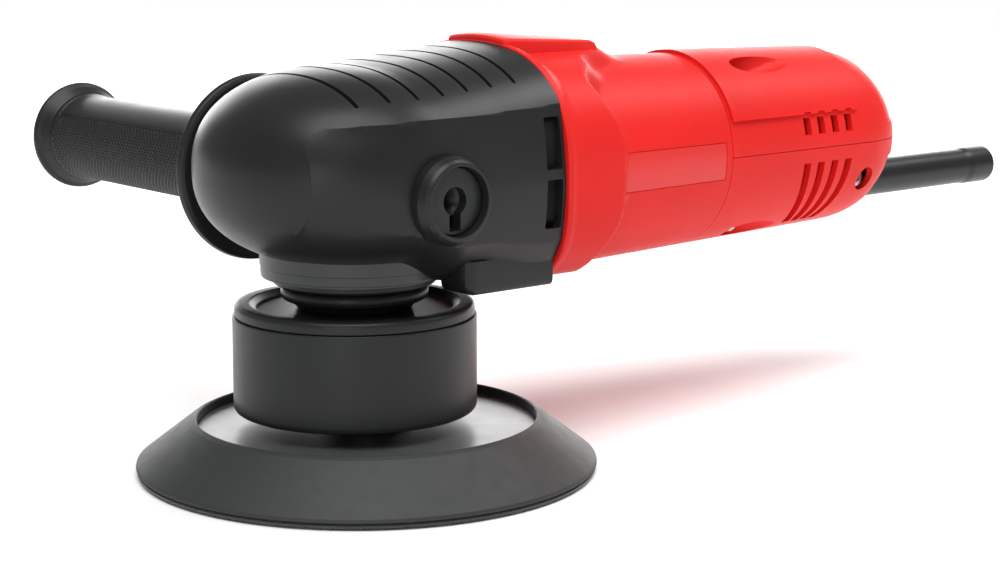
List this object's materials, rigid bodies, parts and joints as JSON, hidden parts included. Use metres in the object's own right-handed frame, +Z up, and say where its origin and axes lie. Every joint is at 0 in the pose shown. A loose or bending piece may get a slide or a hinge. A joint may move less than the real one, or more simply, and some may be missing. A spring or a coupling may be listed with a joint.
{
  "type": "dual action polisher",
  "caption": "Corded polisher with a keyed side handle, a bevel gear nose and a hook faced round foam pad that turns freely on a small orbit.",
  "frame": {"origin": "where the spindle's axis meets the pad's bottom face", "axes": "+Z up along the spindle, away from the pad; +X back along the motor towards the cord; +Y towards the side handle"},
  "size_m": [0.3979, 0.2655, 0.1388],
  "materials": {
    "red_housing": "satin",
    "black_rubber": "satin",
    "black_plastic": "satin",
    "foam": "matt moulded foam",
    "grey_plate": "matt",
    "hook_fabric": "hook tape",
    "steel": "machined",
    "cast_aluminium": "cast",
    "copper": "enamelled copper",
    "brass": "pressed",
    "carbon": "carbon",
    "circuit_board": "circuit board"
  },
  "bodies": {
    "housing": {"gear_case": "cast_aluminium", "gear_cover": "black_rubber", "bearing_retainer": "cast_aluminium", "spindle_bearing_lower": "steel", "spindle_bearing_upper": "steel", "boss_insert_near": "black_plastic", "boss_insert_far": "black_plastic", "handle_stud": "steel", "handle_guard": "black_plastic", "handle_grip": "black_rubber", "handle_end_cap": "black_plastic", "motor_housing": "red_housing", "tail_cover_upper": "red_housing", "tail_cover_lower": "red_housing", "tail_top_panel": "red_housing", "strain_relief": "black_rubber", "cord_clamp": "black_plastic", "tail_side_screw": "steel", "tail_screw_1": "steel", "tail_screw_2": "steel", "tail_screw_3": "steel", "tail_screw_4": "steel", "front_bearing": "steel", "rear_bearing": "steel", "stator_core": "steel", "field_coil_near": "copper", "field_coil_far": "copper", "rear_bracket": "black_plastic", "brush_holder_near": "brass", "carbon_brush_near": "carbon", "brush_spring_near": "steel", "brush_holder_far": "brass", "carbon_brush_far": "carbon", "brush_spring_far": "steel", "control_board": "circuit_board", "switch_body": "black_plastic"},
    "rotor": {"pad_bearing_lower": "steel", "pad_bearing_upper": "steel", "eccentric_hub": "cast_aluminium", "counterweight": "steel", "counterweight_drum": "black_plastic", "drum_lid": "black_plastic", "spindle_collar": "black_plastic", "spindle": "steel", "ring_gear": "steel"},
    "pad": {"hook_face": "hook_fabric", "foam_pad": "foam", "backing_plate": "grey_plate", "pad_stud": "steel", "pad_spindle": "steel"},
    "armature": {"bevel_pinion": "steel", "armature_shaft": "steel", "cooling_fan": "black_plastic", "armature_core": "steel", "armature_winding_front": "copper", "armature_winding_rear": "copper", "commutator": "copper"},
    "dial": {"speed_dial": "black_plastic"},
    "switch_button": {"power_switch": "black_plastic"}
  },
  "joints": [
    {"name": "spindle_spin", "type": "hinge", "parent": "housing", "child": "rotor", "pos_m": [0, 0, 0.06], "axis": [0, 0, 1], "continuous": true},
    {"name": "pad_spin", "type": "hinge", "parent": "rotor", "child": "pad", "pos_m": [0.00229, -0.00328, 0.02], "axis": [0, 0, 1], "continuous": true},
    {"name": "armature_spin", "type": "hinge", "parent": "housing", "child": "armature", "pos_m": [0.1, 0, 0.095], "axis": [1, 0, 0], "continuous": true},
    {"name": "speed_dial_turn", "type": "hinge", "parent": "housing", "child": "dial", "pos_m": [0.19, 0.0242, 0.1016], "axis": [0, 0, 1], "range_deg": [0, 270]},
    {"name": "switch_slide", "type": "slide", "parent": "housing", "child": "switch_button", "axis": [-1, 0, 0], "range_m": [0, 0.008]}
  ],
  "couplings": [
    {"joint": "armature_spin", "follows": "spindle_spin", "ratio": 3.125}
  ]
}
